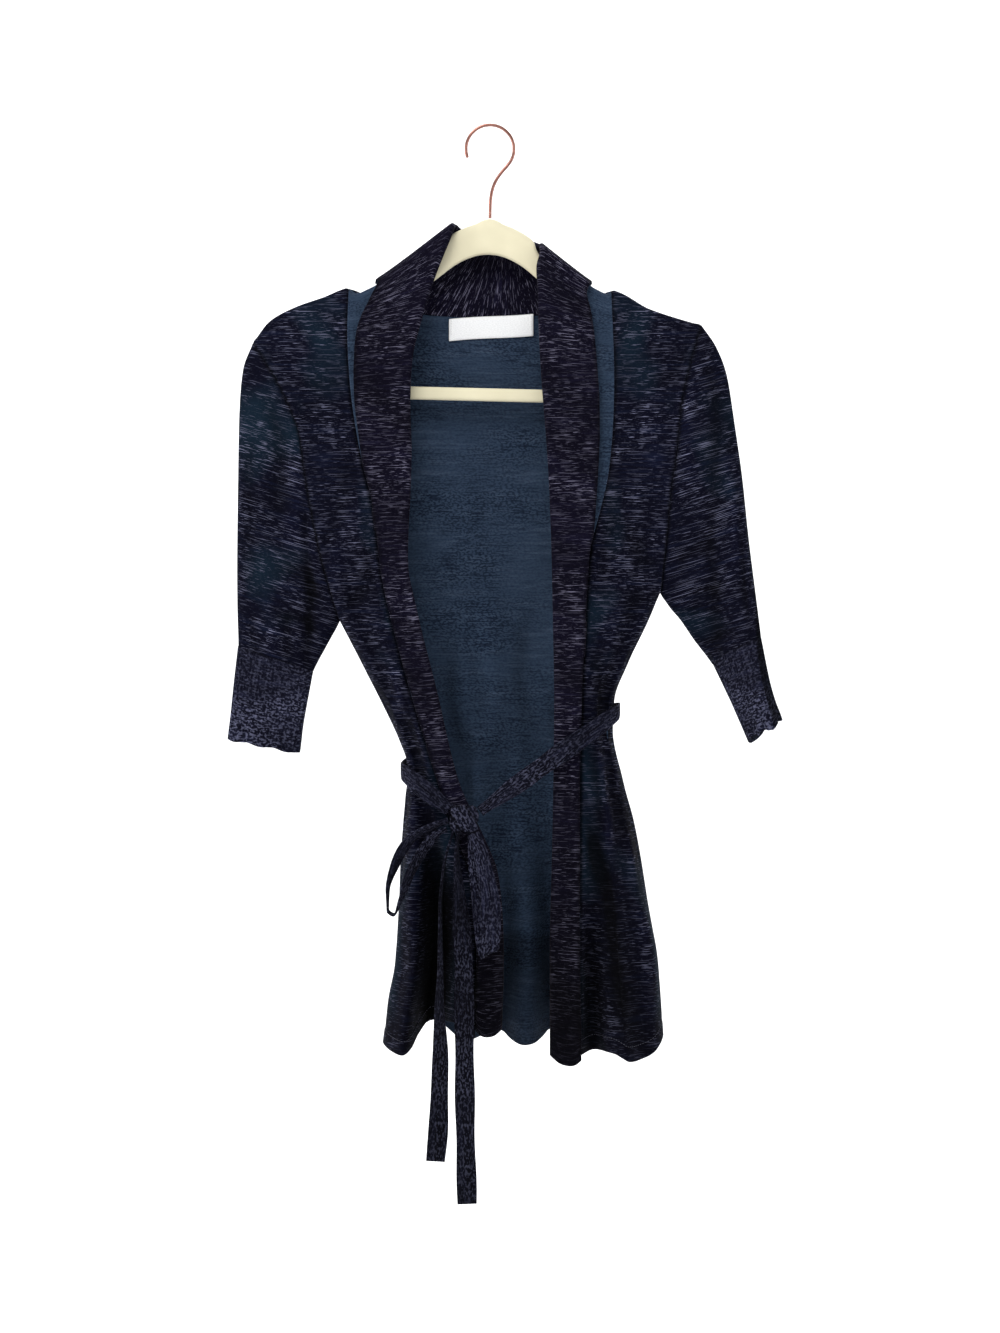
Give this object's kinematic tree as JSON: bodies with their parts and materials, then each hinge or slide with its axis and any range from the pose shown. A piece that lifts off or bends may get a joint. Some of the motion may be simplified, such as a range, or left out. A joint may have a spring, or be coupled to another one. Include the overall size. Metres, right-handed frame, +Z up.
{
  "type": "wrap cardigan on a clothes hanger",
  "caption": "Knitted wrap cardigan with a shawl collar, elbow-length cuffed sleeves and a sash tied in a bow, hanging open on a slim hanger with a wire hook.",
  "frame": {"origin": "inside of the crown of the hanger's hook, where a rail carries it", "axes": "+Z up; the cardigan's front faces -Y; the wearer's left, the picture's right, is at +X"},
  "size_m": [0.4944, 0.1121, 0.9602],
  "materials": {
    "knit": "matte navy slub knit, slate teal on its wrong side",
    "collar_knit": "matte plum-navy slub knit",
    "rib": "matte speckled grey-violet rib",
    "label": "smooth white woven tape",
    "hanger": "matte cream",
    "hook": "polished copper-coloured wire"
  },
  "bodies": {
    "root": {"back": "knit", "front_left": "knit", "front_right": "knit", "sleeve_left": "knit", "sleeve_right": "knit", "collar": "collar_knit", "cuff_left": "rib", "cuff_right": "rib", "belt_back": "rib", "belt_front_left": "rib", "belt_front_right": "rib", "belt_knot": "rib", "bow_loop_left": "rib", "bow_loop_right": "rib", "belt_tail_left": "rib", "belt_tail_right": "rib", "neck_label": "label", "hanger_body": "hanger", "hanger_hook": "hook"}
  },
  "joints": []
}
